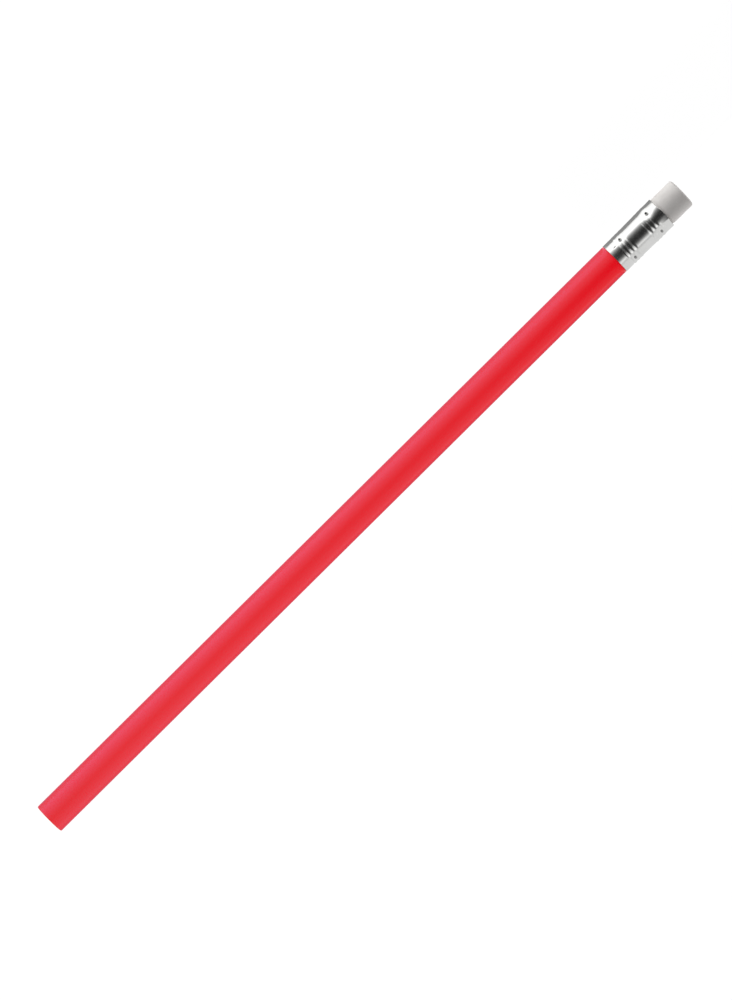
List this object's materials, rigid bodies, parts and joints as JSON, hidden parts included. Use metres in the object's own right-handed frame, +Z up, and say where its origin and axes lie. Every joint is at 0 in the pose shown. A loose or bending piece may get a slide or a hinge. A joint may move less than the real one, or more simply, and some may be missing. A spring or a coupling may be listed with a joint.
{
  "type": "pencil with eraser",
  "caption": "Round wood-cased pencil, unsharpened, with a red lacquered barrel and an eraser plug held in a beaded and crimped aluminium ferrule.",
  "frame": {"origin": "on the surface that the pencil lies on, under the middle of its length", "axes": "+X along the pencil towards its eraser, +Z up from the surface, +Y across the pencil"},
  "size_m": [0.19, 0.0078, 0.0077],
  "materials": {
    "graphite_lead": "sawn, dark grey with a faint shine",
    "casing_wood": "sawn end grain, bare",
    "casing_glue": "cured film",
    "red_lacquer": "satin, dipped and drawn through a gasket",
    "ferrule_aluminium": "bright drawn",
    "eraser_rubber": "matte, cut at the end"
  },
  "bodies": {
    "pencil": {"lead_core": "graphite_lead", "upper_slat": "casing_wood", "lower_slat": "casing_wood", "glue_line_left": "casing_glue", "glue_line_right": "casing_glue", "lacquer_coat": "red_lacquer", "ferrule": "ferrule_aluminium"},
    "eraser": {"eraser_plug": "eraser_rubber"}
  },
  "joints": [
    {"name": "eraser_pull", "type": "slide", "parent": "pencil", "child": "eraser", "axis": [1, 0, 0], "range_m": [0, 0.008]}
  ]
}
